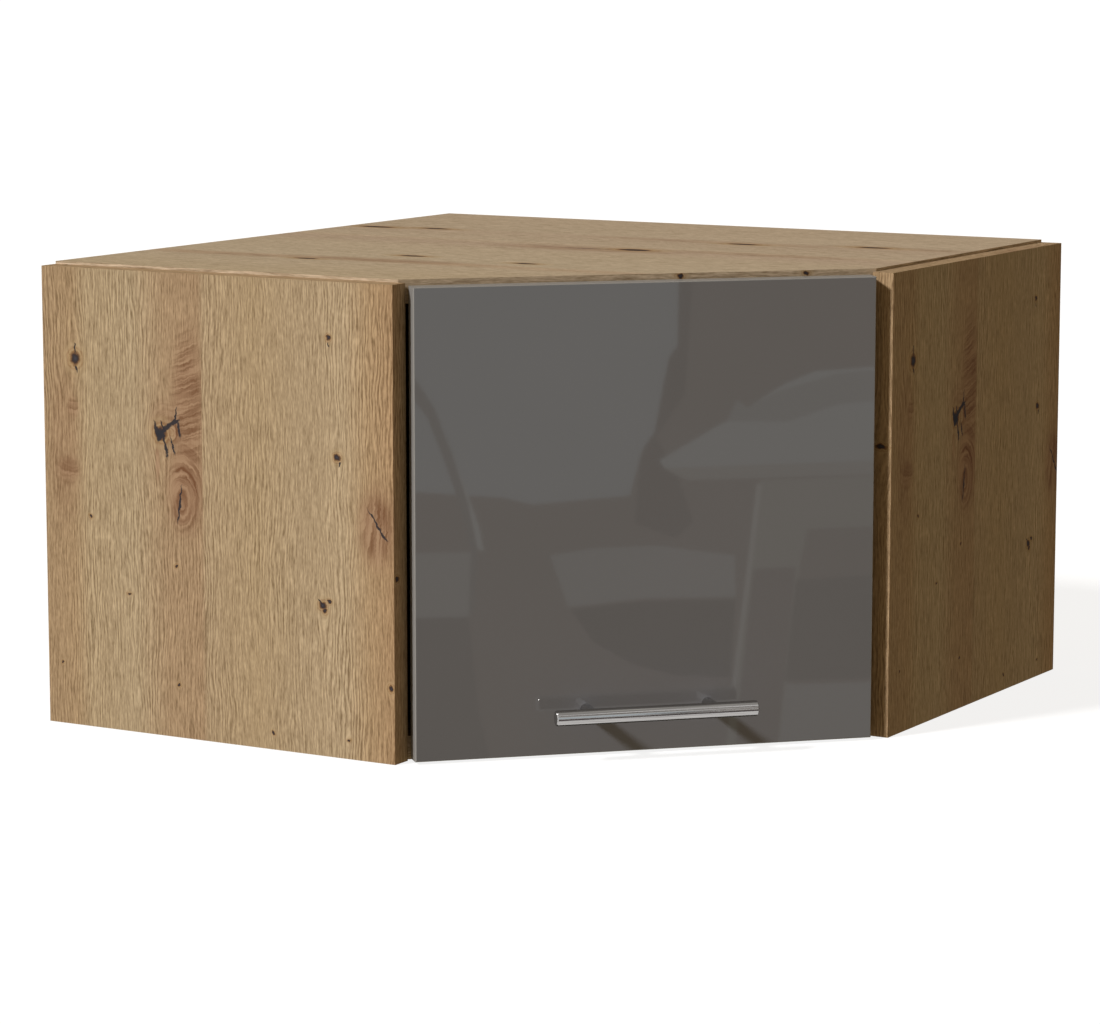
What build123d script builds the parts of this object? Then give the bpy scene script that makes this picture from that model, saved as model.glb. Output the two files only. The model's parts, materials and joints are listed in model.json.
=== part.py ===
from build123d import *
import os
from math import acos, degrees, radians, sin, sqrt

os.makedirs("parts", exist_ok=True)

# ---------------------------------------------------------------------------
# Driving dimensions, in millimetres and degrees.
# The origin is the middle of the square footprint, at the bottom. The two walls
# stand at x = -width/2 and y = +width/2, and meet in the cabinet's rear corner.
# ---------------------------------------------------------------------------
width = 600.0  # outside length along each wall
side_depth = 324.0  # side panel, from the wall to its front edge
side_height = 361.0
panel = 18.0  # thickness of sides, top and bottom
top_proud = 2.2  # top board above the side panels
edge_ease = 0.6  # rounding of the banded panel edges

back_sheet = 3.0  # hardboard back
back_inset = 12.0  # wall plane to the groove for the back sheet
groove_play = 0.4  # groove wider than the sheet
groove_depth = 8.0
sheet_end_play = 0.5  # sheet's edge to the bottom of its groove
sheet_corner_play = 0.3  # between the two sheets where they meet
batten_side = 30.0
batten_ease = 3.0
sheet_screw_count = 3
sheet_screw_margin = 40.0

cam_radius = 7.5
cam_height = 12.5
cam_play = 0.1
cam_offset = 24.0  # board's edge to the middle of a cam
cam_cross_length = 7.0
cam_cross_width = 1.6
cam_cross_depth = 1.5
fixing_margin = 50.0  # outer cams to the ends of a board's edge
dowel_pitch = 32.0  # cam to the dowel beside it
dowel_radius = 4.0
dowel_length = 30.0
dowel_in_side = 12.0
dowel_play = 0.1
bolt_head_radius = 3.4
bolt_play = 0.3
bolt_neck_radius = 2.2
bolt_head_length = 3.0
bolt_thread_radius = 2.9
bolt_in_side = 11.0

flap_thickness = 16.0
flap_bottom = 1.8  # above the cabinet's underside
flap_top_drop = 2.0  # below the top of the side panels
flap_side_gap = 2.18  # flap to the inner front corner of each side panel
flap_front_ease = 0.9
flap_opening = 90.0
front_gap = 4.6  # inside of the flap to the edges of the top and bottom boards

hinge_inset = 65.25  # middle of a cup to the flap's side
hinge_pin_in = 7.0  # pin behind the inside face of the flap
hinge_pin_down = 7.5  # pin below the top edge of the flap
hinge_pin_radius = 1.5
hinge_pin_length = 18.0
pin_play = 0.05
cup_radius = 17.5
cup_depth = 11.3
cup_play = 0.15
cup_edge_distance = 3.2  # cup to the top edge of the flap
cup_floor = 1.2
cup_pocket_radius = 13.4
cup_slot_width = 11.0
cup_slot_wall = 1.0
flange_thickness = 1.2
flange_rim = 1.2
flange_width = 59.0
flange_height = 14.0
cup_screw_spacing = 48.0
cup_screw_offset = 6.0  # screws below the cup's middle
arm_width = 10.0
arm_eye_radius = 2.9
arm_neck = 3.2
arm_drop = 10.9  # pin to the upper face of the arm's level part
arm_level = 3.6
arm_bend = 2.5
arm_sheet = 1.5
arm_play = 0.3
arm_front = 10.0  # inside face of the flap to the front of the channel
arm_lap = 2.0  # neck into the channel
arm_length = 62.0
plate_thickness = 3.0
plate_rib_width = 12.0
plate_rib_length = 54.0
plate_wing_span = 48.0
plate_wing_depth = 16.0
plate_wing_round = 5.0
plate_screw_spacing = 32.0
plate_screw_setback = 37.0  # board's front edge to the plate's screws
arm_screw_radius = 2.4
arm_screw_length = 6.0
arm_screw_head_radius = 3.6
arm_screw_head = 1.6
arm_screw_setbacks = (24.0, 58.0)  # from the inside face of the flap

strut_inset = 30.25  # strut's plane to the flap's right side
strut_reach = 120.0  # hinge pin to the middle of each ball, the same for both
strut_flap_standoff = 13.0  # ball behind the inside face of the flap
strut_board_standoff = 14.0  # ball below the top board
ball_radius = 5.0
ball_play = 0.15
ball_neck_radius = 2.8
socket_radius = 6.6
socket_shank_radius = 5.0
socket_neck = 11.0  # ball's middle to the end of the tube or rod
tube_radius = 7.5
tube_wall = 1.2
tube_end = 3.0
tube_end_ease = 1.0
rod_radius = 4.0
rod_play = 0.06
rod_shown = 1.0  # rod that shows when the flap is closed
guide_length = 7.0
piston_length = 4.6
piston_play = 0.25
piston_rest_gap = 0.6  # piston to the tube's closed end when the flap is closed
bracket_sheet = 2.0
bracket_length = 44.0
bracket_width = 16.0
bracket_round = 3.0
bracket_screw_spacing = 32.0
bracket_ear_gap = 9.0  # middle of the ball to the bracket's ear
bracket_ear_radius = 8.0
bracket_ear_foot = 26.0

handle_length = 158.0
handle_radius = 6.0
handle_spacing = 96.0
handle_height = 35.8  # above the cabinet's underside
handle_standoff = 28.0  # front of the flap to the bar's axis
handle_end_ease = 0.8
post_radius = 4.5
post_bore = 12.0
handle_screw_radius = 2.0
handle_screw_grip = 11.0  # screw inside the post
handle_screw_hole = 2.5
handle_screw_head_radius = 4.0
handle_screw_head = 2.6

hanger_length = 42.0
hanger_width = 17.0
hanger_height = 40.0
hanger_drop = 16.0  # underside of the top board to the hanger
hanger_ease = 2.0
hanger_play = 0.3
hanger_screw_setback = 8.0  # front of the hanger to its fixing screws
hanger_screw_spacing = 24.0
hook_thickness = 3.0
hook_band = 12.0
hook_lip = 14.0
hook_lip_thickness = 4.0
hook_wall_gap = 2.0  # hook's lip to the wall plane
hook_travel = 4.0  # up or down from the middle setting
hook_play = 0.4
hook_inside = 24.0  # hook's band inside the hanger
adjuster_radius = 2.4
adjuster_spacing = 10.0
adjuster_slot = 0.9
notch_margin = 4.0

bumper_radius = 5.0
bumper_ease = 1.2
bumper_gap = 0.4  # bumper to the bottom board's edge
bumper_margin = 14.0
bumper_rise = 9.0

screw_play = 0.05
pan_top_share = 0.7  # flat of a pan head, as a share of its width
# shank radius, length, head radius, head height
sheet_screw = (1.5, 13.0, 3.0, 1.8)
plate_screw = (2.5, 12.0, 3.6, 1.8)
bracket_screw = (1.75, 12.0, 3.2, 1.6)
hanger_screw = (2.0, 28.0, 4.0, 2.4)
cup_screw = (1.75, 11.5, 3.4, 1.6)

# ---------------------------------------------------------------------------
# Sizes that follow from the driving ones
# ---------------------------------------------------------------------------
root2 = sqrt(2)
wall = width / 2
inner = wall - panel  # inside face of each side panel
top = side_height + top_proud
ceiling = top - panel  # underside of the top board
flap_back = (side_depth - panel) / root2  # out from the middle, along the front's normal
flap_front = flap_back + flap_thickness
flap_top = side_height - flap_top_drop
flap_height = flap_top - flap_bottom
flap_width = (wall + inner - side_depth) * root2 - 2 * flap_side_gap
hinge_spacing = flap_width - 2 * hinge_inset
strut_offset = flap_width / 2 - strut_inset
board_front = flap_back - front_gap
board_reach = side_depth - front_gap * root2  # straight edge of a board, from the wall
board_levels = (panel / 2, top - panel / 2)
cam_rows = (fixing_margin, board_reach - fixing_margin)
dowel_rows = (fixing_margin + dowel_pitch, board_reach - fixing_margin - dowel_pitch)
groove_width = back_sheet + groove_play
sheet_rear = wall - back_inset - groove_play / 2
sheet_front = sheet_rear - back_sheet
sheet_hidden = groove_depth - sheet_end_play  # part of a sheet inside a groove

pin_n = flap_back + hinge_pin_in
pin_z = flap_top - hinge_pin_down
cup_z = flap_top - cup_edge_distance - cup_radius
arm_top = pin_z - arm_drop
arm_bottom = arm_top - arm_level
rib_bottom = arm_bottom + arm_sheet
plate_bottom = ceiling - plate_thickness
plate_n = board_front - plate_screw_setback

flap_ball_n = flap_back - strut_flap_standoff
flap_ball_z = pin_z - sqrt(strut_reach**2 - (pin_n - flap_ball_n) ** 2)
board_ball_z = ceiling - strut_board_standoff
board_ball_n = pin_n - sqrt(strut_reach**2 - (pin_z - board_ball_z) ** 2)
strut_run = flap_ball_n - board_ball_n
strut_fall = board_ball_z - flap_ball_z
strut_closed = sqrt(strut_run**2 + strut_fall**2)
closed_angle = degrees(acos(1 - strut_closed**2 / (2 * strut_reach**2)))
strut_open = 2 * strut_reach * sin(radians(closed_angle + flap_opening) / 2)
tube_mouth = strut_closed - socket_neck - rod_shown
piston_rest = socket_neck + tube_end + piston_rest_gap
print(f"strut {strut_closed:.1f} mm closed, {strut_open:.1f} mm open")

hanger_middle = ceiling - hanger_drop - hanger_height / 2
hanger_rear = sheet_front - hanger_play  # distances from the middle, towards a wall
hanger_front = hanger_rear - hanger_length
hanger_mid_y = -inner + hanger_width / 2


# ---------------------------------------------------------------------------
# Places: s runs along the front, n out of it, z up
# ---------------------------------------------------------------------------
def place(s, n, z):
    return ((s + n) / root2, (s - n) / root2, z)


def front_plane(n, s=0.0, z=0.0):
    """Plane that faces out of the front, with s to the right and z up."""
    return Plane(origin=place(s, n, z), x_dir=(1, 1, 0), z_dir=(1, -1, 0))


def rear_plane(n, s=0.0, z=0.0):
    """Plane that faces into the cabinet, with s to the right and z down."""
    return Plane(origin=place(s, n, z), x_dir=(1, 1, 0), z_dir=(-1, 1, 0))


def swing_plane(s, n=0.0, z=0.0):
    """Upright plane that the flap swings in, with n to the right and z up."""
    return Plane(origin=place(s, n, z), x_dir=(1, -1, 0), z_dir=(-1, -1, 0))


def down_plane(n, s, z):
    """Level plane that faces down, with s to the right and n forward."""
    return Plane(origin=place(s, n, z), x_dir=(1, 1, 0), z_dir=(0, 0, -1))


def spots(plane, points=((0, 0),)):
    return [plane.location * Location((x, y, 0)) for x, y in points]


def sunk(places, depth):
    return [place_on_face * Location((0, 0, -depth)) for place_on_face in places]


symmetry = Plane(origin=(0, 0, 0), z_dir=(1, 1, 0))
left_inside = Plane(origin=(-wall, -inner, 0), x_dir=(-1, 0, 0), z_dir=(0, 1, 0))
left_edge = Plane(origin=(-wall, -inner, 0), x_dir=(1, 0, 0), z_dir=(0, -1, 0))
right_edge = Plane(origin=(inner, wall, 0), x_dir=(0, 1, 0), z_dir=(1, 0, 0))
right_sheet_face = Plane(
    origin=(inner + sheet_hidden, sheet_rear, 0), x_dir=(-1, 0, 0), z_dir=(0, 1, 0)
)
left_sheet_face = Plane(
    origin=(-sheet_rear, -inner - sheet_hidden, 0), x_dir=(0, -1, 0), z_dir=(-1, 0, 0)
)


def mirrored(piece):
    with BuildPart() as other:
        mirror(piece.part, about=symmetry)
    return other


def keep(piece, name):
    piece.part.label = name
    export_step(piece.part, f"parts/{name}.step")


# ---------------------------------------------------------------------------
# Fasteners: each points down its own -Z from the face that it is driven into
# ---------------------------------------------------------------------------
def countersunk_screw(shank_radius, length, head_radius, head_height):
    with BuildPart() as screw:
        with BuildSketch(Plane.XZ):
            with BuildLine():
                Polyline(
                    (0, 0),
                    (head_radius, 0),
                    (shank_radius, -head_height),
                    (shank_radius, -length),
                    (0, -length),
                    close=True,
                )
            make_face()
        revolve(axis=Axis.Z)
    return screw


def pan_screw(shank_radius, length, head_radius, head_height):
    with BuildPart() as screw:
        with BuildSketch(Plane.XZ):
            with BuildLine():
                Polyline(
                    (0, head_height),
                    (head_radius * pan_top_share, head_height),
                    (head_radius, 0),
                    (shank_radius, 0),
                    (shank_radius, -length),
                    (0, -length),
                    close=True,
                )
            make_face()
        revolve(axis=Axis.Z)
    return screw


def group(piece, places):
    with BuildPart() as several:
        with Locations(*places):
            add(piece.part)
    return several


def both_sides(piece):
    with BuildPart() as pair:
        add(piece.part)
        mirror(piece.part, about=symmetry)
    return pair


def countersinks(screw, places):
    """Cuts the seats of countersunk screws into the piece being built."""
    shank_radius, length, head_radius, head_height = screw
    seat = countersunk_screw(
        shank_radius + screw_play, length + screw_play, head_radius + screw_play, head_height
    )
    with Locations(*places):
        add(seat.part, mode=Mode.SUBTRACT)


def pilot_holes(screw, places, covered):
    """Cuts the holes for screws that pass another piece, covered thick, first."""
    shank_radius, length = screw[:2]
    with Locations(*places):
        Hole(shank_radius + screw_play, length - covered + screw_play)


# ---------------------------------------------------------------------------
# Places of the screws, shared by the screws and what they go through
# ---------------------------------------------------------------------------
hinge_sides = (-hinge_spacing / 2, hinge_spacing / 2)
cup_screw_spots = [
    spot
    for s in hinge_sides
    for spot in spots(
        rear_plane(flap_back - flange_thickness, s, cup_z),
        [(side * cup_screw_spacing / 2, cup_screw_offset) for side in (-1, 1)],
    )
]
plate_screw_spots = [
    spot
    for s in hinge_sides
    for spot in spots(
        down_plane(plate_n, s, plate_bottom), [(side * plate_screw_spacing / 2, 0) for side in (-1, 1)]
    )
]
arm_screw_spots = [
    spot
    for s in hinge_sides
    for spot in spots(
        down_plane(flap_back, s, arm_bottom), [(0, -setback) for setback in arm_screw_setbacks]
    )
]
handle_screw_spots = spots(
    rear_plane(flap_back, 0, handle_height), [(side * handle_spacing / 2, 0) for side in (-1, 1)]
)
board_seat = down_plane(board_ball_n, strut_offset, ceiling)
flap_seat = rear_plane(flap_back, strut_offset, flap_ball_z)
bracket_screw_points = [
    (-bracket_ear_gap - bracket_width / 2, side * bracket_screw_spacing / 2) for side in (-1, 1)
]
hanger_screw_points = [
    (hanger_front + hanger_screw_setback - wall, hanger_middle + side * hanger_screw_spacing / 2)
    for side in (-1, 1)
]
batten_middle = inner + sheet_hidden + sheet_front - batten_side / 2
sheet_screw_levels = [
    sheet_screw_margin + row * (side_height - 2 * sheet_screw_margin) / (sheet_screw_count - 1)
    for row in range(sheet_screw_count)
]
right_sheet_spots = spots(right_sheet_face, [(batten_middle, z) for z in sheet_screw_levels])
left_sheet_spots = spots(left_sheet_face, [(-batten_middle, z) for z in sheet_screw_levels])


def edge_spots(distances, level):
    """Places on both straight edges of a board, by their distance from the wall."""
    on_left = spots(left_edge, [(d, level) for d in distances])
    return on_left + spots(right_edge, [(-d, level) for d in distances])


def cam_spots(underside):
    left = [(-wall + d, -inner + cam_offset) for d in cam_rows]
    right = [(inner - cam_offset, wall - d) for d in cam_rows]
    return [Location((x, y, underside), (180, 0, 0)) for x, y in left + right]


# ---------------------------------------------------------------------------
# Side panels, with the groove for the back sheet and the holes for the fittings
# ---------------------------------------------------------------------------
with BuildPart() as left_side_panel:
    with BuildSketch(left_inside):
        Rectangle(side_depth, side_height, align=(Align.MAX, Align.MIN))
    extrude(amount=-panel)
    fillet(left_side_panel.edges().filter_by(Axis.Z).sort_by(Axis.X)[-2:], edge_ease)
    with BuildSketch(left_inside):
        with Locations((-back_inset, 0)):
            Rectangle(groove_width, side_height, align=(Align.MAX, Align.MIN))
    extrude(amount=-groove_depth, mode=Mode.SUBTRACT)
    with Locations(*spots(left_inside, [(-d, z) for d in cam_rows for z in board_levels])):
        Hole(bolt_thread_radius + screw_play, bolt_in_side + screw_play)
    with Locations(*spots(left_inside, [(-d, z) for d in dowel_rows for z in board_levels])):
        Hole(dowel_radius + dowel_play, dowel_in_side + dowel_play)
    pilot_holes(hanger_screw, spots(left_inside, hanger_screw_points), hanger_width)

right_side_panel = mirrored(left_side_panel)


# ---------------------------------------------------------------------------
# Top and bottom boards: the same five-sided blank, drilled for cams from below
# ---------------------------------------------------------------------------
def carcass_board(underside, groove_floor):
    tip = board_front * root2 - inner
    with BuildPart() as board:
        with BuildSketch(Plane.XY.offset(underside)):
            with BuildLine():
                Polyline(
                    (-wall, wall), (inner, wall), (inner, -tip), (tip, -inner), (-wall, -inner), close=True
                )
            make_face()
        extrude(amount=panel)
        with BuildSketch(Plane.XY.offset(groove_floor)):
            with Locations((-wall + back_inset, -inner)):
                Rectangle(groove_width, inner + wall - back_inset, align=(Align.MIN, Align.MIN))
            with Locations((inner, wall - back_inset)):
                Rectangle(inner + wall - back_inset, groove_width, align=(Align.MAX, Align.MAX))
        extrude(amount=groove_depth, mode=Mode.SUBTRACT)
        with Locations(*cam_spots(underside)):
            Hole(cam_radius + cam_play, cam_height + cam_play)
        with Locations(*edge_spots(cam_rows, underside + panel / 2)):
            Hole(bolt_head_radius + bolt_play, cam_offset)
        with Locations(*edge_spots(dowel_rows, underside + panel / 2)):
            Hole(dowel_radius + dowel_play, dowel_length - dowel_in_side + dowel_play)
    return board


bottom_panel = carcass_board(0, panel - groove_depth)
with BuildPart() as top_panel:
    add(carcass_board(ceiling, ceiling).part)
    pilot_holes(plate_screw, sunk(plate_screw_spots, plate_thickness), plate_thickness)
    pilot_holes(bracket_screw, spots(board_seat, bracket_screw_points), bracket_sheet)


# ---------------------------------------------------------------------------
# Back sheets, notched round the hangers, and the batten in the corner
# ---------------------------------------------------------------------------
def back_panel(reach):
    """Sheet on the right-hand wall, from its edge in the side panel to the corner."""
    low = panel - sheet_hidden
    high = ceiling + sheet_hidden
    notch_low = hanger_middle - hanger_height / 2 - notch_margin
    notch_width = sheet_hidden + hanger_width + notch_margin
    with BuildPart() as sheet:
        with BuildSketch(right_sheet_face):
            with Locations((0, low)):
                Rectangle(reach, high - low, align=(Align.MIN, Align.MIN))
            with Locations((0, high)):
                Rectangle(
                    notch_width, high - notch_low, align=(Align.MIN, Align.MAX), mode=Mode.SUBTRACT
                )
        extrude(amount=-back_sheet)
        countersinks(sheet_screw, right_sheet_spots)
    return sheet


sheet_start = inner + sheet_hidden
right_back_sheet = back_panel(sheet_start + sheet_rear)
left_back_sheet = mirrored(back_panel(sheet_start + sheet_front - sheet_corner_play))

with BuildPart() as corner_batten:
    with BuildSketch(Plane.XY.offset(panel)):
        with Locations((-sheet_front, sheet_front)):
            Rectangle(batten_side, batten_side, align=(Align.MIN, Align.MAX))
    extrude(amount=ceiling - panel)
    inside_edge = corner_batten.edges().filter_by(Axis.Z).sort_by(Axis((0, 0, 0), (1, -1, 0)))[-1]
    chamfer(inside_edge, batten_ease)
    pilot_holes(sheet_screw, sunk(right_sheet_spots + left_sheet_spots, back_sheet), back_sheet)

back_sheet_screws = group(countersunk_screw(*sheet_screw), right_sheet_spots + left_sheet_spots)

# ---------------------------------------------------------------------------
# Knock-down fittings between the boards and the sides
# ---------------------------------------------------------------------------
with BuildPart() as dowel:
    Cylinder(dowel_radius, dowel_length, align=(Align.CENTER, Align.CENTER, Align.MAX))

with BuildPart() as cam_bolt:
    Cylinder(bolt_neck_radius, cam_offset, align=(Align.CENTER, Align.CENTER, Align.MAX))
    with Locations((0, 0, -cam_offset - bolt_head_length / 2)):
        Cylinder(bolt_head_radius, bolt_head_length, align=(Align.CENTER, Align.CENTER, Align.MIN))
    Cylinder(bolt_thread_radius, bolt_in_side, align=(Align.CENTER, Align.CENTER, Align.MIN))

with BuildPart() as cam:
    Cylinder(cam_radius, cam_height, align=(Align.CENTER, Align.CENTER, Align.MAX))
    with BuildSketch():
        Rectangle(cam_cross_length, cam_cross_width)
        Rectangle(cam_cross_width, cam_cross_length)
    extrude(amount=-cam_cross_depth, mode=Mode.SUBTRACT)

all_bolt_spots = [spot for level in board_levels for spot in edge_spots(cam_rows, level)]
all_dowel_spots = [spot for level in board_levels for spot in edge_spots(dowel_rows, level)]
cam_bolts = group(cam_bolt, all_bolt_spots)
carcass_dowels = group(dowel, sunk(all_dowel_spots, -dowel_in_side))
with BuildPart() as cam_locks:
    with Locations(*cam_spots(0), *cam_spots(ceiling)):
        add(cam.part)
    with Locations(*sunk(all_bolt_spots, cam_offset + bolt_head_length / 2 + bolt_play)):
        Cylinder(
            bolt_head_radius + bolt_play,
            cam_radius * 2,
            align=(Align.CENTER, Align.CENTER, Align.MIN),
            mode=Mode.SUBTRACT,
        )

# ---------------------------------------------------------------------------
# Cabinet hangers: a housing on each side panel, and a hook that slides in it
# ---------------------------------------------------------------------------
hanger_rear_face = Plane(
    origin=(-hanger_rear, hanger_mid_y, hanger_middle), x_dir=(0, -1, 0), z_dir=(-1, 0, 0)
)
hanger_front_face = Plane(
    origin=(-hanger_front, hanger_mid_y, hanger_middle), x_dir=(0, 1, 0), z_dir=(1, 0, 0)
)
adjuster_length = hanger_length - hook_inside - hook_play * 2
adjuster_spots = spots(hanger_front_face, [(0, side * adjuster_spacing / 2) for side in (-1, 1)])

with BuildPart() as left_hanger_body:
    with BuildSketch(hanger_rear_face):
        Rectangle(hanger_width, hanger_height)
    extrude(amount=-hanger_length)
    fillet(left_hanger_body.faces().sort_by(Axis.X)[-1].edges().filter_by(Axis.Y), hanger_ease)
    with BuildSketch(hanger_rear_face):
        Rectangle(hook_thickness + 2 * hook_play, hook_band + 2 * (hook_travel + hook_play))
    extrude(amount=-hook_inside - hook_play, mode=Mode.SUBTRACT)
    with Locations(*adjuster_spots):
        Hole(adjuster_radius + screw_play, adjuster_length)
    countersinks(hanger_screw, spots(left_inside.offset(hanger_width), hanger_screw_points))

with BuildPart() as adjuster:
    Cylinder(adjuster_radius, adjuster_length, align=(Align.CENTER, Align.CENTER, Align.MAX))
    with BuildSketch():
        Rectangle(adjuster_radius * 1.5, adjuster_slot)
        Rectangle(adjuster_slot, adjuster_radius * 1.5)
    extrude(amount=-adjuster_slot, mode=Mode.SUBTRACT)

hook_section = Plane(origin=(0, hanger_mid_y, hanger_middle), x_dir=(1, 0, 0), z_dir=(0, -1, 0))
hook_outer = -wall + hook_wall_gap
with BuildPart() as left_hanger_hook:
    with BuildSketch(hook_section):
        with BuildLine():
            Polyline(
                (-hanger_rear + hook_inside, hook_band / 2),
                (hook_outer, hook_band / 2),
                (hook_outer, -hook_band / 2 - hook_lip),
                (hook_outer + hook_lip_thickness, -hook_band / 2 - hook_lip),
                (hook_outer + hook_lip_thickness, -hook_band / 2),
                (-hanger_rear + hook_inside, -hook_band / 2),
                close=True,
            )
        make_face()
    extrude(amount=hook_thickness / 2, both=True)
    fillet(left_hanger_hook.edges().filter_by(Axis.Y).group_by(Axis.X)[0], hook_play * 4)

right_hanger_body = mirrored(left_hanger_body)
right_hanger_hook = mirrored(left_hanger_hook)
hanger_adjusting_screws = both_sides(group(adjuster, adjuster_spots))
hanger_fixing_screws = both_sides(
    group(
        countersunk_screw(*hanger_screw), spots(left_inside.offset(hanger_width), hanger_screw_points)
    )
)

# ---------------------------------------------------------------------------
# Flap, bored for the cups and drilled for the handle
# ---------------------------------------------------------------------------
with BuildPart() as flap_panel:
    with BuildSketch(front_plane(flap_back)):
        with Locations((0, flap_bottom)):
            Rectangle(flap_width, flap_height, align=(Align.CENTER, Align.MIN))
    extrude(amount=flap_thickness)
    front_face = flap_panel.faces().sort_by(Axis((0, 0, 0), (1, -1, 0)))[-1]
    fillet(front_face.edges(), flap_front_ease)
    with Locations(*[spot for s in hinge_sides for spot in spots(rear_plane(flap_back, s, cup_z))]):
        Hole(cup_radius + cup_play, cup_depth + cup_play)
    pilot_holes(cup_screw, sunk(cup_screw_spots, flange_thickness), flange_thickness)
    pilot_holes(bracket_screw, spots(flap_seat, bracket_screw_points), bracket_sheet)
    with Locations(*handle_screw_spots):
        Hole(handle_screw_hole)

# ---------------------------------------------------------------------------
# Hinges: a cup in the flap, a cranked arm that carries the pin's eye into the
# cup and clears the flap's edge as it swings round, and a plate under the top
# ---------------------------------------------------------------------------
left_hinge = -hinge_spacing / 2
cup_mouth = rear_plane(flap_back, left_hinge, cup_z)
hinge_section = swing_plane(left_hinge, pin_n, pin_z)

with BuildPart() as left_hinge_cup:
    with BuildSketch(cup_mouth):
        Circle(cup_radius)
    extrude(amount=-cup_depth)
    with BuildSketch(cup_mouth):
        Circle(cup_radius + flange_rim)
        with Locations((0, cup_screw_offset)):
            RectangleRounded(flange_width, flange_height, flange_height / 2 - flange_rim)
    extrude(amount=flange_thickness)
    with BuildSketch(cup_mouth.offset(flange_thickness)):
        Circle(cup_pocket_radius)
        Rectangle(cup_slot_width, cup_radius - cup_slot_wall, align=(Align.CENTER, Align.MAX))
    extrude(amount=cup_floor - cup_depth - flange_thickness, mode=Mode.SUBTRACT)
    with BuildSketch(hinge_section):
        Circle(hinge_pin_radius)
    extrude(amount=hinge_pin_length / 2, both=True, mode=Mode.SUBTRACT)
    with Locations(*cup_screw_spots[:2]):
        Hole(cup_screw[0] + screw_play, flange_thickness * 2)

with BuildPart() as left_hinge_pin:
    with BuildSketch(hinge_section):
        Circle(hinge_pin_radius)
    extrude(amount=hinge_pin_length / 2, both=True)

channel_width = plate_rib_width + 2 * (arm_play + arm_sheet)
cheek_height = plate_bottom - arm_play - arm_bottom
channel_front = front_plane(flap_back - arm_front, left_hinge, arm_bottom)
neck_length = hinge_pin_in + arm_neck / 2 + arm_front + arm_lap

with BuildPart() as left_hinge_arm:
    with BuildSketch(hinge_section) as neck:
        Circle(arm_eye_radius)
        Rectangle(arm_neck, arm_drop + arm_level, align=(Align.CENTER, Align.MAX))
        with Locations((arm_neck / 2, -arm_drop)):
            Rectangle(neck_length, arm_level, align=(Align.MAX, Align.MAX))
        fillet(neck.vertices().group_by(Axis.Y)[0].sort_by(Axis.X)[-1], arm_bend)
        Circle(hinge_pin_radius + pin_play, mode=Mode.SUBTRACT)
    extrude(amount=arm_width / 2, both=True)
    with BuildSketch(channel_front):
        Rectangle(channel_width, cheek_height, align=(Align.CENTER, Align.MIN))
        with Locations((0, arm_sheet)):
            Rectangle(
                channel_width - 2 * arm_sheet,
                cheek_height,
                align=(Align.CENTER, Align.MIN),
                mode=Mode.SUBTRACT,
            )
    extrude(amount=-arm_length)
    with Locations(*arm_screw_spots[:2]):
        Hole(arm_screw_radius + screw_play, arm_sheet * 2)

rib_front = flap_back - arm_front - arm_lap - arm_play
with BuildPart() as left_hinge_plate:
    with BuildSketch(down_plane(plate_n, left_hinge, ceiling)):
        RectangleRounded(plate_wing_span, plate_wing_depth, plate_wing_round)
    extrude(amount=plate_thickness)
    with BuildSketch(down_plane(rib_front, left_hinge, ceiling)):
        Rectangle(plate_rib_width, plate_rib_length, align=(Align.CENTER, Align.MAX))
    extrude(amount=ceiling - rib_bottom)
    countersinks(plate_screw, plate_screw_spots[:2])
    with Locations(*sunk(arm_screw_spots[:2], arm_sheet)):
        Hole(arm_screw_radius + screw_play, arm_screw_length - arm_sheet + screw_play)

right_hinge_cup = mirrored(left_hinge_cup)
right_hinge_arm = mirrored(left_hinge_arm)
right_hinge_plate = mirrored(left_hinge_plate)
hinge_pins = both_sides(left_hinge_pin)
hinge_cup_screws = group(pan_screw(*cup_screw), cup_screw_spots)
hinge_plate_screws = group(countersunk_screw(*plate_screw), plate_screw_spots)
hinge_arm_screws = group(
    pan_screw(arm_screw_radius, arm_screw_length, arm_screw_head_radius, arm_screw_head), arm_screw_spots
)


# ---------------------------------------------------------------------------
# Gas strut: both balls lie at the same distance from the hinge pins, so the
# strut turns through half the flap's angle while the rod slides out of the tube
# ---------------------------------------------------------------------------
def ball_bracket(seat, standoff):
    """Angle bracket on a face, with a ball stud held sideways off its ear."""
    ear_face = Plane(
        origin=seat.from_local_coords((-bracket_ear_gap, 0, 0)), x_dir=seat.y_dir, z_dir=seat.x_dir
    )
    with BuildPart() as bracket:
        with BuildSketch(seat):
            with Locations((-bracket_ear_gap, 0)):
                Rectangle(bracket_width, bracket_length, align=(Align.MAX, Align.CENTER))
        extrude(amount=bracket_sheet)
        flat_corners = bracket.edges().filter_by(Axis(seat.origin, seat.z_dir))
        fillet(flat_corners.sort_by(Axis(seat.origin, seat.x_dir))[:2], bracket_round)
        with BuildSketch(ear_face):
            with BuildLine():
                Polyline(
                    (-bracket_ear_foot / 2, 0),
                    (bracket_ear_foot / 2, 0),
                    (bracket_ear_radius, standoff),
                    (-bracket_ear_radius, standoff),
                    close=True,
                )
            make_face()
            with Locations((0, standoff)):
                Circle(bracket_ear_radius)
        extrude(amount=-bracket_sheet)
        with BuildSketch(ear_face):
            with Locations((0, standoff)):
                Circle(ball_neck_radius)
        extrude(amount=bracket_ear_gap)
        with Locations(seat.location * Location((0, 0, standoff))):
            Sphere(ball_radius)
        countersinks(bracket_screw, spots(seat.offset(bracket_sheet), bracket_screw_points))
    return bracket


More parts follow.
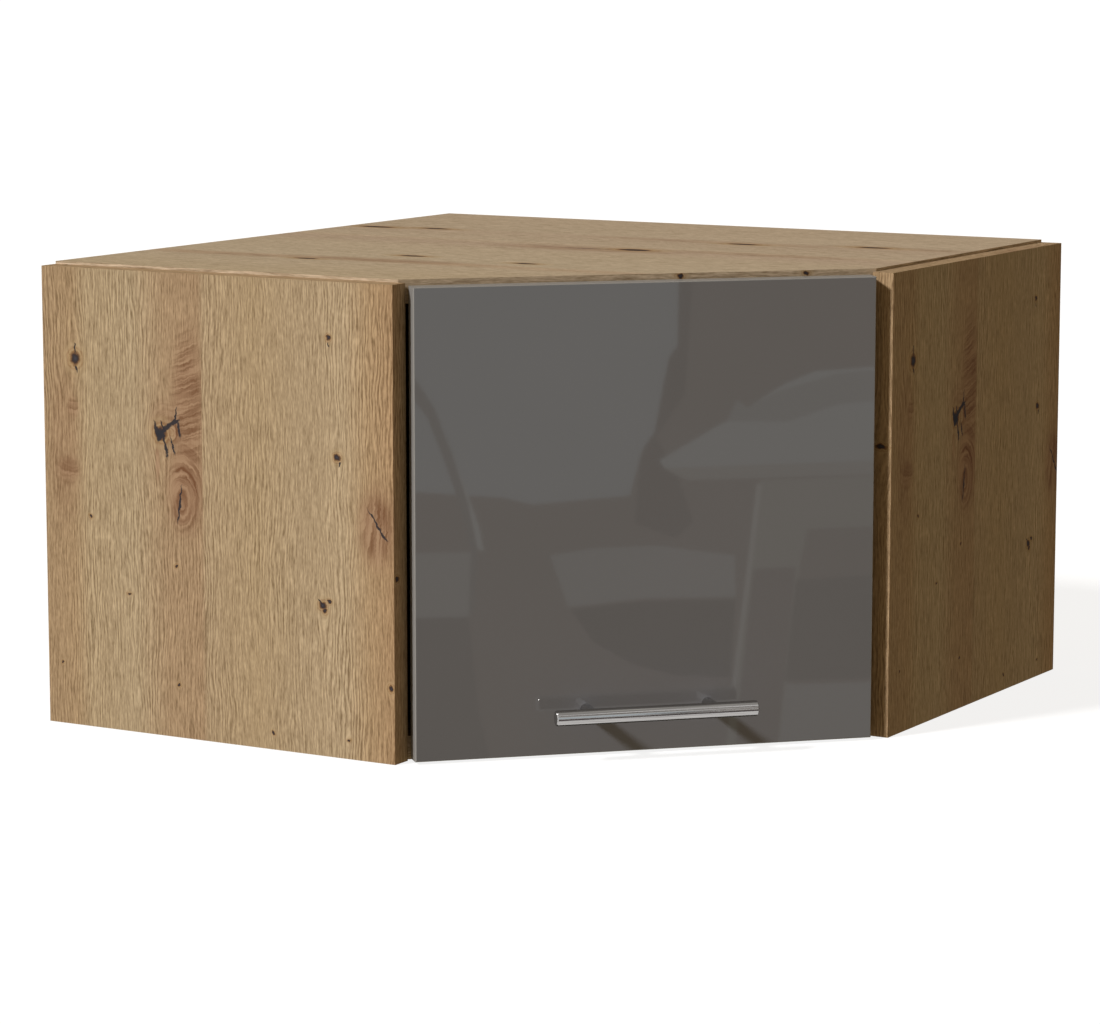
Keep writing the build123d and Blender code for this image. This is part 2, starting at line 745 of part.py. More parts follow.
strut_cabinet_bracket = ball_bracket(board_seat, strut_board_standoff)
strut_flap_bracket = ball_bracket(flap_seat, strut_flap_standoff)
bracket_screw_piece = countersunk_screw(*bracket_screw)
strut_cabinet_screws = group(
    bracket_screw_piece, spots(board_seat.offset(bracket_sheet), bracket_screw_points)
)
strut_flap_screws = group(
    bracket_screw_piece, spots(flap_seat.offset(bracket_sheet), bracket_screw_points)
)

from_board = Plane(
    origin=place(strut_offset, board_ball_n, board_ball_z),
    x_dir=(1, 1, 0),
    z_dir=(strut_run / root2, -strut_run / root2, -strut_fall),
)
from_flap = Plane(
    origin=place(strut_offset, flap_ball_n, flap_ball_z), x_dir=(1, 1, 0), z_dir=-from_board.z_dir
)


def ball_socket(axis_plane):
    """Socket that snaps over a ball from its free side, with a shank for the strut."""
    across = Plane(origin=axis_plane.origin, x_dir=axis_plane.z_dir, z_dir=-axis_plane.x_dir)
    with BuildPart() as socket:
        with BuildSketch(across):
            Circle(socket_radius)
        extrude(amount=ball_radius - ball_play)
        with BuildSketch(across):
            Circle(socket_radius)
        extrude(amount=-socket_radius)
        with BuildSketch(axis_plane):
            Circle(socket_shank_radius)
        extrude(amount=socket_neck)
        with BuildSketch(across.offset(-ball_radius - ball_play)):
            Circle(ball_radius + ball_play)
        extrude(amount=2 * (ball_radius + ball_play), mode=Mode.SUBTRACT)
    return socket


strut_cylinder_socket = ball_socket(from_board)
strut_rod_socket = ball_socket(from_flap)

with BuildPart() as strut_cylinder:
    with BuildSketch(from_board.offset(socket_neck)):
        Circle(tube_radius)
    extrude(amount=tube_mouth - socket_neck)
    fillet(strut_cylinder.edges().sort_by(Axis(from_board.origin, from_board.z_dir))[0], tube_end_ease)
    with BuildSketch(from_board.offset(socket_neck + tube_end)):
        Circle(tube_radius - tube_wall)
    extrude(amount=tube_mouth - socket_neck - tube_end, mode=Mode.SUBTRACT)

with BuildPart() as strut_guide:
    with BuildSketch(from_board.offset(tube_mouth)):
        Circle(tube_radius - tube_wall)
        Circle(rod_radius + rod_play, mode=Mode.SUBTRACT)
    extrude(amount=-guide_length)

with BuildPart() as strut_piston:
    with BuildSketch(from_board.offset(piston_rest)):
        Circle(tube_radius - tube_wall - piston_play)
    extrude(amount=piston_length)

with BuildPart() as strut_rod:
    with BuildSketch(from_board.offset(piston_rest + piston_length)):
        Circle(rod_radius)
    extrude(amount=strut_closed - socket_neck - piston_rest - piston_length)

# ---------------------------------------------------------------------------
# Handle: a round bar on two posts, screwed on from inside the flap
# ---------------------------------------------------------------------------
with BuildPart() as handle_bar:
    with BuildSketch(swing_plane(0, flap_front + handle_standoff, handle_height)):
        Circle(handle_radius)
    extrude(amount=handle_length / 2, both=True)
    chamfer(handle_bar.edges().filter_by(GeomType.CIRCLE), handle_end_ease)

with BuildPart() as handle_left_post:
    with BuildSketch(front_plane(flap_front, -handle_spacing / 2, handle_height)):
        Circle(post_radius)
    extrude(amount=handle_standoff)
    with BuildSketch(swing_plane(0, flap_front + handle_standoff, handle_height)):
        Circle(handle_radius)
    extrude(amount=handle_length / 2, both=True, mode=Mode.SUBTRACT)
    with Locations(*spots(rear_plane(flap_front, -handle_spacing / 2, handle_height))):
        Hole(handle_screw_radius + screw_play, post_bore)

handle_right_post = mirrored(handle_left_post)
handle_screws = group(
    pan_screw(
        handle_screw_radius,
        flap_thickness + handle_screw_grip,
        handle_screw_head_radius,
        handle_screw_head,
    ),
    handle_screw_spots,
)

# ---------------------------------------------------------------------------
# Soft buffers on the flap's lower corners
# ---------------------------------------------------------------------------
with BuildPart() as flap_bumpers:
    bumper_side = flap_width / 2 - bumper_margin
    with BuildSketch(rear_plane(flap_back, 0, bumper_rise)):
        with Locations((-bumper_side, 0), (bumper_side, 0)):
            Circle(bumper_radius)
    extrude(amount=front_gap - bumper_gap)
    rims = flap_bumpers.edges().filter_by(GeomType.CIRCLE).sort_by(Axis((0, 0, 0), (1, -1, 0)))[:2]
    chamfer(rims, bumper_ease)

# ---------------------------------------------------------------------------
# Finished pieces
# ---------------------------------------------------------------------------
keep(left_side_panel, "left_side_panel")
keep(right_side_panel, "right_side_panel")
keep(top_panel, "top_panel")
keep(bottom_panel, "bottom_panel")
keep(left_back_sheet, "left_back_sheet")
keep(right_back_sheet, "right_back_sheet")
keep(corner_batten, "corner_batten")
keep(back_sheet_screws, "back_sheet_screws")
keep(cam_locks, "cam_locks")
keep(cam_bolts, "cam_bolts")
keep(carcass_dowels, "carcass_dowels")
keep(left_hanger_body, "left_hanger_body")
keep(right_hanger_body, "right_hanger_body")
keep(left_hanger_hook, "left_hanger_hook")
keep(right_hanger_hook, "right_hanger_hook")
keep(hanger_adjusting_screws, "hanger_adjusting_screws")
keep(hanger_fixing_screws, "hanger_fixing_screws")
keep(flap_panel, "flap_panel")
keep(left_hinge_cup, "left_hinge_cup")
keep(right_hinge_cup, "right_hinge_cup")
keep(left_hinge_arm, "left_hinge_arm")
keep(right_hinge_arm, "right_hinge_arm")
keep(left_hinge_plate, "left_hinge_plate")
keep(right_hinge_plate, "right_hinge_plate")
keep(hinge_pins, "hinge_pins")
keep(hinge_cup_screws, "hinge_cup_screws")
keep(hinge_plate_screws, "hinge_plate_screws")
keep(hinge_arm_screws, "hinge_arm_screws")
keep(strut_cabinet_bracket, "strut_cabinet_bracket")
keep(strut_cabinet_screws, "strut_cabinet_screws")
keep(strut_flap_bracket, "strut_flap_bracket")
keep(strut_flap_screws, "strut_flap_screws")
keep(strut_cylinder, "strut_cylinder")
keep(strut_cylinder_socket, "strut_cylinder_socket")
keep(strut_guide, "strut_guide")
keep(strut_rod, "strut_rod")
keep(strut_rod_socket, "strut_rod_socket")
keep(strut_piston, "strut_piston")
keep(handle_bar, "handle_bar")
keep(handle_left_post, "handle_left_post")
keep(handle_right_post, "handle_right_post")
keep(handle_screws, "handle_screws")
keep(flap_bumpers, "flap_bumpers")
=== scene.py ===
import json
from math import cos, radians, sin, sqrt

import bpy
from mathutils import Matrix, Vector

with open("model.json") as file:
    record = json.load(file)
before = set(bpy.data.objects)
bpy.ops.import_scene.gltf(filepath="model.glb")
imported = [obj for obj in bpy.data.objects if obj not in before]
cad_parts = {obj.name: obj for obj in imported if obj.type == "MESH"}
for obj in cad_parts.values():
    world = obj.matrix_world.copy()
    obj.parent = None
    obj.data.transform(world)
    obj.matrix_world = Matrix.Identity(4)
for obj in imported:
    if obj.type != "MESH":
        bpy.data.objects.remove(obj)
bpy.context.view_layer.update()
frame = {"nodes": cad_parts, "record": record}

MM = 0.001
ROOT2 = sqrt(2)
ALONG_FRONT = Vector((1, 1, 0)) / ROOT2
OUT_OF_FRONT = Vector((1, -1, 0)) / ROOT2


# ---------------------------------------------------------------------------
# Small helpers
# ---------------------------------------------------------------------------
def linear(hex_colour, alpha=1.0):
    """An sRGB hex value as linear red, green, blue and alpha."""
    channels = [int(hex_colour[start:start + 2], 16) / 255 for start in (1, 3, 5)]
    even = [c / 12.92 if c <= 0.04045 else ((c + 0.055) / 1.055) ** 2.4 for c in channels]
    return (*even, alpha)


def node(tree, kind, inputs=None, stops=None, **settings):
    """Adds a node with its settings, its socket values and its links.

    A link is given as a node, which means its first output, or as one of its outputs.
    """
    made = tree.nodes.new("ShaderNode" + kind)
    for name, value in settings.items():
        setattr(made, name, value)
    if stops:
        elements = made.color_ramp.elements
        while len(elements) < len(stops):
            elements.new(1.0)
        for element, (position, colour) in zip(elements, stops):
            element.position = position
            element.color = colour
    for name, value in (inputs or {}).items():
        if isinstance(name, int):
            socket = made.inputs[name]
        else:
            socket = next(s for s in made.inputs if s.enabled and s.name == name)
        if isinstance(value, bpy.types.Node):
            value = next(s for s in value.outputs if s.enabled)
        if isinstance(value, bpy.types.NodeSocket):
            tree.links.new(value, socket)
        else:
            socket.default_value = value
    return made


def blank_material(name):
    """A new material with an empty node tree: returns both."""
    material = bpy.data.materials.new(name)
    material.use_nodes = True
    material.node_tree.nodes.clear()
    return material, material.node_tree


def finish_with(tree, **inputs):
    """Ends a material's tree with one Principled shader, its sockets named with underscores."""
    sockets = {name.replace("_", " "): value for name, value in inputs.items()}
    node(tree, "OutputMaterial", {"Surface": node(tree, "BsdfPrincipled", sockets)})


# ---------------------------------------------------------------------------
# Oak decor: printed paper on chipboard, pressed matt with a light pore texture.
# Lengths are in millimetres; across runs over the grain and along runs with it.
# ---------------------------------------------------------------------------
ACROSS, UP = (1, 0, 0), (0, 0, 1)
FAR_SIDE = 1000.0  # shift across the grain between the two faces of a board
PLANK_SHIFT = 370.0  # shift across at each seam, so that the grain breaks off there
TONE_REACH = 330.0  # the tints are given from minus this to plus this, across the grain
SIDE_SEAM, TOP_SEAM = -149.5, 60.0  # across, where two planks of the print meet
NO_SEAM = 9999.0
TURN = radians(360)

# width and length of a streak, its finest detail, and how much it darkens or lightens.
# Pores are under a millimetre wide on the real board, so they are drawn half as wide again.
STREAKS = (
    (26.0, 420.0, 2.0, 0.04),
    (4.0, 120.0, 2.0, 0.05),
    (1.1, 18.0, 1.0, 0.25),
    (0.8, 5.0, 1.0, 0.20),
)
RING_SPACING = 3.0  # the year rings stand as lines this far apart, stronger in some patches
RING_WANDER = 9.0  # radians that they stray, over the width and length that follow
RING_WANDER_WIDTH, RING_WANDER_LENGTH = 8.0, 45.0
RING_WEIGHT = 0.32
PATCH_WIDTH, PATCH_LENGTH = 42.0, 190.0
GROUND_TONE = 0.46  # the tone where no ring, pore or hair shows
DRIFT = 14.0  # the grain strays by half of this each way, over the width and length that follow
DRIFT_WIDTH, DRIFT_LENGTH = 70.0, 160.0
# in radii of a knot: how far the grain flows round it across and along, and how far aside
LANE_WIDTH, LANE_LENGTH, LANE_SWELL = 4.2, 12.0, 2.6
PALE_SHARE, DARK_SHARE = (1.40, 1.43, 1.50), (0.52, 0.47, 0.40)  # of the tint, at tones 0 and 1
STAIN_PALE, STAIN_DARK, CRACK_SHADE = "#a5866a", "#6f4b32", "#25242a"

# across, along, radius, stretch along the grain
SIDE_KNOTS = (
    (-269, 290, 3.9, 1.15),
    (-188, 237, 4.4, 1.0),
    (-33, 319, 1.8, 1.0),
    (-26, 229, 2.5, 0.9),
    (-40, 116, 2.6, 0.9),
    (-38, 112, 1.6, 1.1),
    (-34, 119, 1.4, 1.0),
    (-256, 167, 1.2, 0.9),
    (-220, 109, 1.5, 0.6),
    (-175, 135, 1.4, 0.9),
    (-174, 42, 1.3, 1.1),
    (-286, 49, 1.0, 1.0),
    (-86, 13, 1.2, 1.0),
    (-17, 15, 1.2, 0.8),
    (21, 58, 1.9, 1.1),
    (28, 141, 2.2, 0.8),
    (-315, 227, 4.2, 0.4),
)
# across, along, width, length, and degrees that the top leans to the left
SIDE_CRACKS = (
    (-184, 240, 4.6, 22, -53),
    (-192, 239, 3.4, 15, 20),
    (-189, 234, 5.0, 9, -30),
    (-186, 243, 2.4, 9, 30),
    (-175, 246, 4.0, 11, -70),
    (-174, 251, 1.8, 15, -9),
    (-171, 241, 3.2, 13, 11),
    (-184, 228, 2.4, 24, 12),
    (-177, 228, 1.7, 15, 17),
    (-171, 183, 2.2, 32, -8),
    (9, 181, 1.9, 30, 35),
    (15, 173, 2.4, 11, 42),
    (-269, 298, 1.6, 9, 4),
    (-268, 282, 2.2, 6, 20),
    (-33, 314, 1.2, 5, 0),
    (-24, 224, 1.4, 5, -30),
    (-42, 119, 1.4, 7, 40),
)
# middle of the rings across and along, their spacing across and along, then middle, half width
# and half height of the patch that shows them, how strongly, and the seam that cuts it off
SIDE_FIGURES = (
    (-205, 400, 2.3, 2.3, -162, 260, 20, 72, 0.85, SIDE_SEAM),
    (-181, 240, 3.0, 3.2, -185, 243, 18, 25, 0.50, SIDE_SEAM),
    (-169, 184, 2.4, 4.0, -165, 196, 22, 44, 1.00, SIDE_SEAM),
    (-169, 183, 2.0, 4.0, -169, 183, 11, 19, 0.70, SIDE_SEAM),
    (-178, 238, 2.0, 2.4, -180, 238, 14, 12, 1.00, SIDE_SEAM),
    (-191, 150, 1.6, 30.0, -191.5, 214, 2.6, 20, 0.80, NO_SEAM),
    (-262, 130, 3.0, 9.0, -281, 222, 19, 78, 0.35, NO_SEAM),
    (-275, 260, 2.4, 4.0, -277, 203, 14, 13, 0.60, NO_SEAM),
    (-272, 300, 2.4, 3.0, -272, 252, 7, 11, 0.55, NO_SEAM),
    (-6, 240, 2.2, 16.0, 9, 178, 21, 38, 0.90, NO_SEAM),
)
SIDE_SEAMS = (SIDE_SEAM,)
# across and the tint there: greyish straw, warmer and darker where the heartwood shows
SIDE_TINTS = (
    (-324, "#9d8261"),
    (-298, "#a08768"),
    (-272, "#a18868"),
    (-258, "#a89374"),
    (-214, "#aa9678"),
    (-196, "#a68f71"),
    (-184, "#a1886a"),
    (-150, "#a08668"),
    (-149, "#a69072"),
    (-100, "#a69070"),
    (-60, "#a89375"),
    (-20, "#ab9678"),
    (2, "#a58b6a"),
    (24, "#a08362"),
    (42, "#9c8667"),
)
TOP_KNOTS = (
    (134, -270, 4.6, 3.2),
    (143, -216, 3.6, 3.4),
    (36, 40, 6.0, 2.0),
    (-163, -144, 3.0, 3.0),
    (-102, -84, 3.8, 2.6),
    (-117, 29, 3.2, 2.8),
    (130, 91, 4.0, 3.0),
    (153, 198, 4.0, 3.0),
    (361, 31, 1.6, 1.5),
    (361, 131, 1.4, 1.5),
)
TOP_CRACKS = ((35, 44, 5.0, 26, 4), (30, 0, 2.4, 46, -3), (134, -270, 3.0, 24, 0))
TOP_FIGURES = (
    (-190, -78, 7.0, 60.0, -146, -78, 20, 120, 0.45, NO_SEAM),
    (-160, -230, 7.0, 60.0, -158, -225, 16, 90, 0.30, NO_SEAM),
    (10, -4, 6.0, 60.0, 26, 0, 22, 110, 0.45, NO_SEAM),
    (20, 150, 7.0, 60.0, 44, 150, 15, 120, 0.32, NO_SEAM),
    (120, 20, 7.0, 60.0, 137, 60, 16, 150, 0.32, NO_SEAM),
    (150, 220, 7.0, 60.0, 152, 220, 18, 90, 0.40, NO_SEAM),
    (134, -240, 7.0, 60.0, 138, -240, 14, 70, 0.30, NO_SEAM),
)
TOP_SEAMS = (TOP_SEAM,)
TOP_TINTS = (
    (-300, "#b5a284"),
    (-172, "#b5a389"),
    (-150, "#b29b80"),
    (-136, "#b6a58b"),
    (-20, "#b5a389"),
    (30, "#b19c85"),
    (59, "#b5a187"),
    (61, "#b4a289"),
    (136, "#b19d85"),
    (160, "#b5a38a"),
    (300, "#b3a087"),
)


def grain_space(tree, upright, flat, start, inside):
    """Lengths across and along the grain on every face of a board, with its normal and place.

    upright and flat give the two directions on the upright and on the level faces, start is
    added across, and inside is the direction of the face that gets a part of its own.
    """
    coordinates = node(tree, "TexCoord")
    normal = coordinates.outputs["Normal"]
    point = node(
        tree, "VectorMath", {0: coordinates.outputs["Object"], "Scale": 1 / MM}, operation="SCALE"
    )
    lift = node(tree, "VectorMath", {0: normal, 1: UP}, operation="DOT_PRODUCT")
    steep = node(tree, "Math", {0: lift}, operation="ABSOLUTE")
    level = node(tree, "Math", {0: steep, 1: 0.5}, operation="GREATER_THAN")
    facing = node(tree, "VectorMath", {0: normal, 1: inside}, operation="DOT_PRODUCT")
    away = node(tree, "Math", {0: facing, 1: 0.5}, operation="GREATER_THAN")
    directions = []
    for one, other in zip(upright, flat):
        on_upright = node(tree, "VectorMath", {0: point, 1: one}, operation="DOT_PRODUCT")
        on_level = node(tree, "VectorMath", {0: point, 1: other}, operation="DOT_PRODUCT")
        directions.append(node(tree, "Mix", {"Factor": level, "A": on_upright, "B": on_level}))
    across = node(tree, "Math", {0: directions[0], 1: start}, operation="ADD")
    across = node(tree, "Math", {0: away, 1: FAR_SIDE, 2: across}, operation="MULTIPLY_ADD")
    grain = node(tree, "CombineXYZ", {0: across, 1: directions[1]})
    return point, normal, across, grain


def roughened(tree, grain):
    """The same place, pushed about by a millimetre or two, for ragged outlines."""
    jitter = node(tree, "TexNoise", {"Vector": grain, "Scale": 0.24, "Detail": 3.0})
    centred = node(
        tree, "VectorMath", {0: jitter.outputs["Color"], 1: (0.5, 0.5, 0.5)}, operation="SUBTRACT"
    )
    return node(
        tree, "VectorMath", {0: centred, 1: (4.0, 5.0, 0.0), 2: grain}, operation="MULTIPLY_ADD"
    )


def reach_of(tree, place, centre, half_width, half_height, lean=0.0):
    """Distance from a centre, 1.0 on an ellipse of the given half sizes."""
    mapped = node(
        tree,
        "Mapping",
        {"Vector": place, "Location": (*centre, 0), "Rotation": (0, 0, radians(lean)),
         "Scale": (half_width, half_height, 1)},
        vector_type="TEXTURE",
    )
    return node(tree, "VectorMath", {0: mapped}, operation="LENGTH")


def lanes_and_knots(tree, grain, ragged, across, knots, seams):
    """The grain's lanes, swollen round each knot and broken at the seams, and the nearest knot."""
    drawn_out = node(
        tree, "VectorMath", {0: grain, 1: (1 / DRIFT_WIDTH, 1 / DRIFT_LENGTH, 1)}, operation="MULTIPLY"
    )
    drift = node(tree, "TexNoise", {"Vector": drawn_out, "Scale": 1.0, "Detail": 2.0})
    shift = node(tree, "Math", {0: drift, 1: DRIFT, 2: -DRIFT / 2}, operation="MULTIPLY_ADD")
    nearest = None
    for knot_across, knot_along, radius, stretch in knots:
        lane = node(
            tree,
            "Mapping",
            {"Vector": grain, "Location": (knot_across, knot_along, 0),
             "Scale": (LANE_WIDTH * radius, LANE_LENGTH * radius, 1)},
            vector_type="TEXTURE",
        )
        swell = node(
            tree,
            "MapRange",
            {"Value": node(tree, "VectorMath", {0: lane}, operation="LENGTH"),
             "From Min": 0.15, "From Max": 1.0, "To Min": -LANE_SWELL * radius, "To Max": 0.0},
            interpolation_type="SMOOTHSTEP",
        )
        aside = node(tree, "VectorMath", {0: lane, 1: ACROSS}, operation="DOT_PRODUCT")
        shift = node(tree, "Math", {0: aside, 1: swell, 2: shift}, operation="MULTIPLY_ADD")
        reach = reach_of(tree, ragged, (knot_across, knot_along), radius, radius * stretch)
        nearest = reach if nearest is None else node(
            tree, "Math", {0: nearest, 1: reach}, operation="MINIMUM"
        )
    for seam in seams:
        past = node(tree, "Math", {0: across, 1: seam}, operation="GREATER_THAN")
        shift = node(tree, "Math", {0: past, 1: PLANK_SHIFT, 2: shift}, operation="MULTIPLY_ADD")
    lanes = node(
        tree, "VectorMath", {0: grain, 1: node(tree, "CombineXYZ", {0: shift})}, operation="ADD"
    )
    return lanes, nearest


def streaked_noise(tree, lanes, width, length, detail):
    """Noise drawn out along the lanes, spread to reach from 0 to 1."""
    cell = node(tree, "VectorMath", {0: lanes, 1: (1 / width, 1 / length, 1)}, operation="MULTIPLY")
    noise = node(tree, "TexNoise", {"Vector": cell, "Scale": 1.0, "Detail": detail})
    return node(tree, "MapRange", {"Value": noise, "From Min": 0.3, "From Max": 0.7})


def grain_tone(tree, lanes):
    """Pale 0 to dark 1: year rings that come and go in patches, bands, pores and hairs."""
    turns = node(
        tree, "VectorMath", {0: lanes, 1: (TURN / RING_SPACING, 0, 0)}, operation="DOT_PRODUCT"
    )
    stray = streaked_noise(tree, lanes, RING_WANDER_WIDTH, RING_WANDER_LENGTH, 2.0)
    phase = node(tree, "Math", {0: stray, 1: RING_WANDER, 2: turns}, operation="MULTIPLY_ADD")
    rings = node(tree, "Math", {0: phase}, operation="SINE")
    patch = streaked_noise(tree, lanes, PATCH_WIDTH, PATCH_LENGTH, 1.0)
    gated = node(tree, "Math", {0: rings, 1: patch}, operation="MULTIPLY")
    tone = node(tree, "Math", {0: gated, 1: RING_WEIGHT, 2: GROUND_TONE}, operation="MULTIPLY_ADD")
    for width, length, detail, weight in STREAKS:
        streak = streaked_noise(tree, lanes, width, length, detail)
        centred = node(tree, "Math", {0: streak, 1: 0.5}, operation="SUBTRACT")
        tone = node(tree, "Math", {0: centred, 1: 2 * weight, 2: tone}, operation="MULTIPLY_ADD")
    return tone


def stained_figures(tree, colour, ragged, across, figures):
    """Brown figures with wavering rings, such as the oval one under the big knot."""
    for ring_across, ring_along, wide, long, *patch, strength, seam in figures:
        patch_across, patch_along, half_width, half_height = patch
        rings = node(
            tree, "CombineXYZ", {2: reach_of(tree, ragged, (ring_across, ring_along), wide, long)}
        )
        # years differ in width, and a ring changes a little along its length
        years = node(
            tree, "VectorMath", {0: ragged, 1: (0.03, 0.03, 0.0), 2: rings}, operation="MULTIPLY_ADD"
        )
        noise = node(tree, "TexNoise", {"Vector": years, "Scale": 1.0, "Detail": 2.0})
        wave = node(tree, "MapRange", {"Value": noise, "From Min": 0.36, "From Max": 0.64})
        reach = reach_of(tree, ragged, (patch_across, patch_along), half_width, half_height)
        # past the seam, everything counts as far outside the patch
        past = node(tree, "Math", {0: across, 1: seam}, operation="GREATER_THAN")
        reach = node(tree, "Math", {0: past, 1: 5.0, 2: reach}, operation="MULTIPLY_ADD")
        cover = node(
            tree,
            "MapRange",
            {"Value": reach, "From Min": 0.35, "From Max": 1.1, "To Min": strength, "To Max": 0.0},
            interpolation_type="SMOOTHSTEP",
        )
        stain = node(
            tree,
            "Mix",
            {"Factor": wave, "A": linear(STAIN_PALE), "B": linear(STAIN_DARK)},
            data_type="RGBA",
        )
        colour = node(tree, "Mix", {"Factor": cover, "A": colour, "B": stain}, data_type="RGBA")
    return colour


def open_cracks(tree, ragged, cracks):
    """Dark splits in the knots, 1 inside and 0 outside."""
    gap = None
    for crack_across, crack_along, crack_width, crack_length, lean in cracks:
        reach = reach_of(
            tree, ragged, (crack_across, crack_along), crack_width / 2, crack_length / 2, lean
        )
        gap = reach if gap is None else node(tree, "Math", {0: gap, 1: reach}, operation="MINIMUM")
    return node(
        tree,
        "MapRange",
        {"Value": gap, "From Min": 0.65, "From Max": 1.15, "To Min": 0.96, "To Max": 0.0},
        interpolation_type="SMOOTHSTEP",
    )


def chipboard_edges(tree, colour, point, normal, raw_edges):
    """Raw chipboard on the edges against the walls: glued flakes, light and dark."""
    stretched = node(tree, "VectorMath", {0: point, 1: (0.5, 0.5, 0.8)}, operation="MULTIPLY")
    flakes = node(tree, "TexVoronoi", {"Vector": stretched, "Scale": 1.0})
    shade = node(
        tree, "VectorMath", {0: flakes.outputs["Color"], 1: ACROSS}, operation="DOT_PRODUCT"
    )
    chipboard = node(
        tree,
        "ValToRGB",
        {0: shade},
        stops=[
            (0.0, linear("#7a5a38")),
            (0.35, linear("#a98759")),
            (0.7, linear("#c9aa78")),
            (1.0, linear("#8c6a42")),
        ],
    )
    for direction in raw_edges:
        facing = node(tree, "VectorMath", {0: normal, 1: direction}, operation="DOT_PRODUCT")
        raw = node(tree, "Math", {0: facing, 1: 0.7}, operation="GREATER_THAN")
        colour = node(tree, "Mix", {"Factor": raw, "A": colour, "B": chipboard}, data_type="RGBA")
    return colour


KNOT_SPAN = 3.4  # a knot's colours reach this many of its radii
KNOT_COLOURS = (
    (0.00, linear("#3d3a41")),
    (0.13, linear("#2f2a2d")),
    (0.23, linear("#3b2c26")),
    (0.30, linear("#644833", 0.95)),
    (0.37, linear("#86633f", 0.80)),
    (0.46, linear("#b0966f", 0.70)),
    (0.56, linear("#8d6a47", 0.50)),
    (0.68, linear("#b39c78", 0.40)),
    (1.00, linear("#a98f6a", 0.0)),
)


def oak_decor(name, space, raw_edges, knots, cracks, figures, seams, tints):
    """Oak-look melamine: straw ground, brown hair-like pores, knots that the grain flows round.

    space holds the directions that grain_space takes, and raw_edges are the directions of the
    edges without a band.
    """
    material, tree = blank_material(name)
    point, normal, across, grain = grain_space(tree, *space)
    ragged = roughened(tree, grain)
    lanes, nearest = lanes_and_knots(tree, grain, ragged, across, knots, seams)
    tone = grain_tone(tree, lanes)

    tint = node(
        tree,
        "ValToRGB",
        {0: node(tree, "MapRange", {"Value": across, "From Min": -TONE_REACH, "From Max": TONE_REACH})},
        stops=[((a + TONE_REACH) / (2 * TONE_REACH), linear(colour)) for a, colour in tints],
    )
    pale = node(tree, "VectorMath", {0: tint, 1: PALE_SHARE}, operation="MULTIPLY")
    dark = node(tree, "VectorMath", {0: tint, 1: DARK_SHARE}, operation="MULTIPLY")
    ground = node(tree, "Mix", {"Factor": tone, "A": pale, "B": dark}, data_type="RGBA")
    figured = stained_figures(tree, ground, ragged, across, figures)

    knot_colour = node(
        tree,
        "ValToRGB",
        {0: node(tree, "Math", {0: nearest, 1: 1 / KNOT_SPAN}, operation="MULTIPLY")},
        stops=KNOT_COLOURS,
    )
    knotted = node(
        tree,
        "Mix",
        {"Factor": knot_colour.outputs["Alpha"], "A": figured, "B": knot_colour},
        data_type="RGBA",
    )
    split = open_cracks(tree, ragged, cracks)
    decor = node(
        tree, "Mix", {"Factor": split, "A": knotted, "B": linear(CRACK_SHADE)}, data_type="RGBA"
    )
    colour = chipboard_edges(tree, decor, point, normal, raw_edges)

    relief = node(tree, "Math", {0: tone, 1: -1.0}, operation="MULTIPLY")
    relief = node(tree, "Math", {0: split, 1: -1.5, 2: relief}, operation="MULTIPLY_ADD")
    bump = node(tree, "Bump", {"Strength": 0.4, "Distance": 0.10 * MM, "Height": relief})
    rough = node(tree, "MapRange", {"Value": tone, "To Min": 0.46, "To Max": 0.62})
    # the pressed paper is matt, so it mirrors a third as much as smooth melamine
    finish_with(
        tree, Base_Color=colour, Roughness=rough, Normal=bump, IOR=1.5, Specular_IOR_Level=0.17
    )
    return material


UPRIGHT_SIDES = ((1, 1, 0), (0, 0, 1))
BOARD_EDGES = ((0, 0, 1), (1 / ROOT2, 1 / ROOT2, 0))
LEVEL_BOARD = ((0, 1, 0), (1, 0, 0))
LEFT_WALL, RIGHT_WALL = (-1, 0, 0), (0, 1, 0)
# added across, so that each board shows its own part of the print
LEFT_START, RIGHT_START, TOP_START, BOTTOM_START = 300.0, -582.0, 0.0, 170.0
SIDE_PATTERN = (SIDE_KNOTS, SIDE_CRACKS, SIDE_FIGURES, SIDE_SEAMS, SIDE_TINTS)
TOP_PATTERN = (TOP_KNOTS, TOP_CRACKS, TOP_FIGURES, TOP_SEAMS, TOP_TINTS)


def oak_boards():
    """The four boards, each with the decor laid as on the real one."""
    left_space = (UPRIGHT_SIDES, LEVEL_BOARD, LEFT_START, (0, 1, 0))
    right_space = (UPRIGHT_SIDES, ((1, 0, 0), (0, 1, 0)), RIGHT_START, (-1, 0, 0))
    top_space = (BOARD_EDGES, LEVEL_BOARD, TOP_START, (0, 0, -1))
    bottom_space = (BOARD_EDGES, LEVEL_BOARD, BOTTOM_START, (0, 0, 1))
    walls = (LEFT_WALL, RIGHT_WALL)
    return {
        "left_side_panel": oak_decor("oak_decor_left", left_space, walls[:1], *SIDE_PATTERN),
        "right_side_panel": oak_decor("oak_decor_right", right_space, walls[1:], *SIDE_PATTERN),
        "top_panel": oak_decor("oak_decor_top", top_space, walls, *TOP_PATTERN),
        "bottom_panel": oak_decor("oak_decor_bottom", bottom_space, walls, *TOP_PATTERN),
    }


# ---------------------------------------------------------------------------
# The flap's film, and the other boards and woods
# ---------------------------------------------------------------------------
PEEL_SCALE = 120.0  # per metre: dimples about 8 mm apart
CLOUD_SCALE = 9.0  # per metre: clouds about 110 mm apart
SPECKLE_SCALE = 2200.0  # per metre: specks about half a millimetre apart


